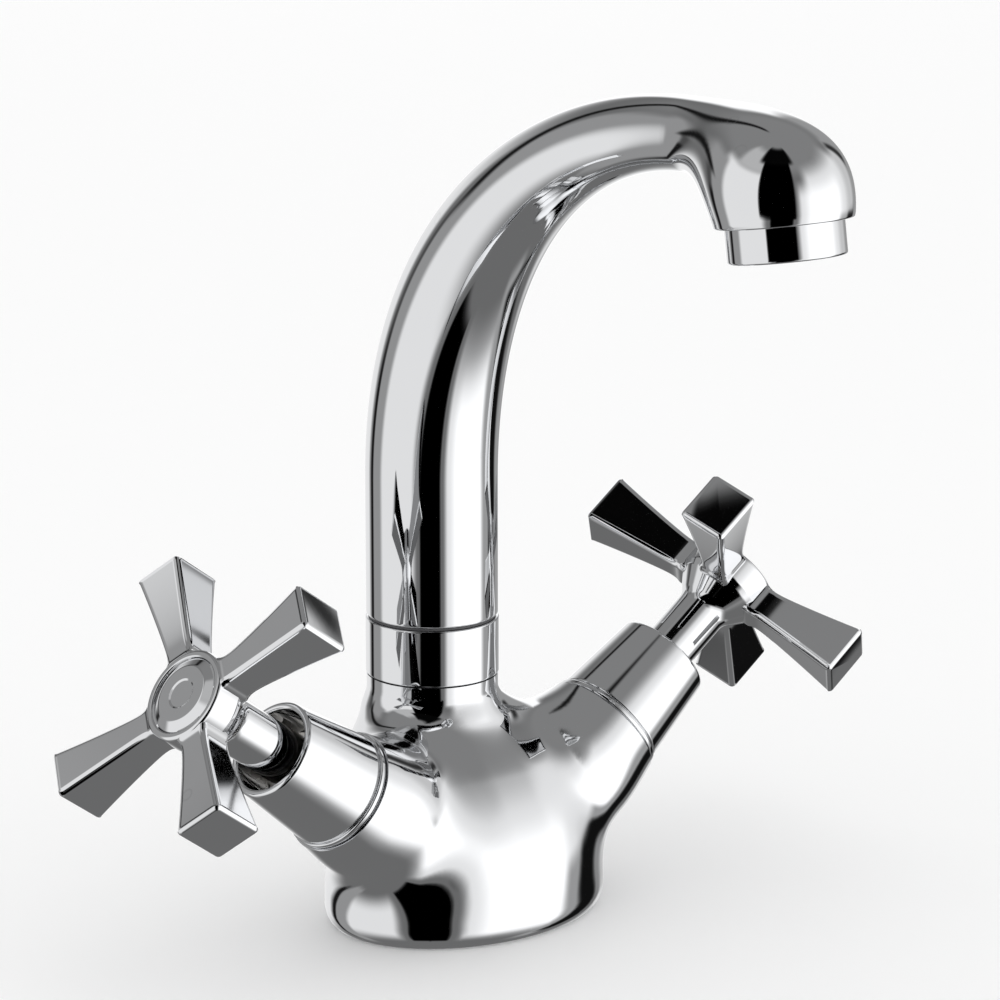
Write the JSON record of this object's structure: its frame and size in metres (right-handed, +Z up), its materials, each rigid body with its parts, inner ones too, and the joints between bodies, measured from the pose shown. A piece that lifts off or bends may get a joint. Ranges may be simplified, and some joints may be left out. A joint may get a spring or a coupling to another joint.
{
  "type": "bathroom mixer faucet",
  "caption": "Two-handle basin mixer with an oval cast body, swivelling swan-neck spout, ceramic headworks and chrome cross handles.",
  "frame": {"origin": "on the deck at the centre of the oval base, where the fixing stud enters the body's foot", "axes": "+X to the cold-side handle along the base's length, +Y away from the outlet towards the wall, +Z up from the deck"},
  "size_m": [0.1935, 0.1417, 0.1891],
  "materials": {
    "body_chrome": "polished chrome plate on a brass casting",
    "spout_chrome": "polished chrome plate on a brass tube",
    "handle_chrome": "polished chrome plate on cast brass arms",
    "trim_chrome": "bright turned chrome plate",
    "turned_brass": "turned brass, fine tool marks",
    "nickel_plate": "dull nickel plate on turned brass",
    "steel_screw": "stainless steel",
    "black_rubber": "moulded nitrile rubber",
    "glide_plastic": "white acetal",
    "aerator_plastic": "grey moulded plastic",
    "white_ceramic": "lapped alumina ceramic"
  },
  "bodies": {
    "base": {"body": "body_chrome", "base_seal": "black_rubber", "spout_nipple": "turned_brass", "collar_seal": "black_rubber", "swivel_collar": "trim_chrome", "lower_glide_ring": "glide_plastic", "upper_glide_ring": "glide_plastic", "lower_nipple_oring": "black_rubber", "upper_nipple_oring": "black_rubber", "glide_washer": "glide_plastic", "left_bead_ring": "trim_chrome", "left_shroud": "trim_chrome", "left_cartridge": "nickel_plate", "left_cartridge_oring": "black_rubber", "left_seat_seal": "black_rubber", "left_fixed_disc": "white_ceramic", "right_bead_ring": "trim_chrome", "right_shroud": "trim_chrome", "right_cartridge": "nickel_plate", "right_cartridge_oring": "black_rubber", "right_seat_seal": "black_rubber", "right_fixed_disc": "white_ceramic"},
    "spout": {"spout": "spout_chrome", "spout_screw": "steel_screw", "aerator_housing": "trim_chrome", "aerator_insert": "aerator_plastic", "aerator_seal": "black_rubber"},
    "left_handle": {"left_turning_disc": "white_ceramic", "left_spindle": "nickel_plate", "left_spindle_oring": "black_rubber", "left_spindle_clip": "steel_screw", "left_cross_handle": "handle_chrome", "left_handle_screw": "steel_screw", "left_index_cap": "handle_chrome"},
    "right_handle": {"right_turning_disc": "white_ceramic", "right_spindle": "nickel_plate", "right_spindle_oring": "black_rubber", "right_spindle_clip": "steel_screw", "right_cross_handle": "handle_chrome", "right_handle_screw": "steel_screw", "right_index_cap": "handle_chrome"}
  },
  "joints": [
    {"name": "spout_swivel", "type": "hinge", "parent": "base", "child": "spout", "pos_m": [0, 0.0112, 0.0656], "axis": [0, 0, 1], "continuous": true},
    {"name": "left_valve", "type": "hinge", "parent": "base", "child": "left_handle", "pos_m": [-0.07378, -0.0032, 0.06191], "axis": [-0.809, 0, 0.5878], "range_deg": [0, 90]},
    {"name": "right_valve", "type": "hinge", "parent": "base", "child": "right_handle", "pos_m": [0.07378, -0.0032, 0.06191], "axis": [0.809, 0, 0.5878], "range_deg": [0, 90]}
  ]
}
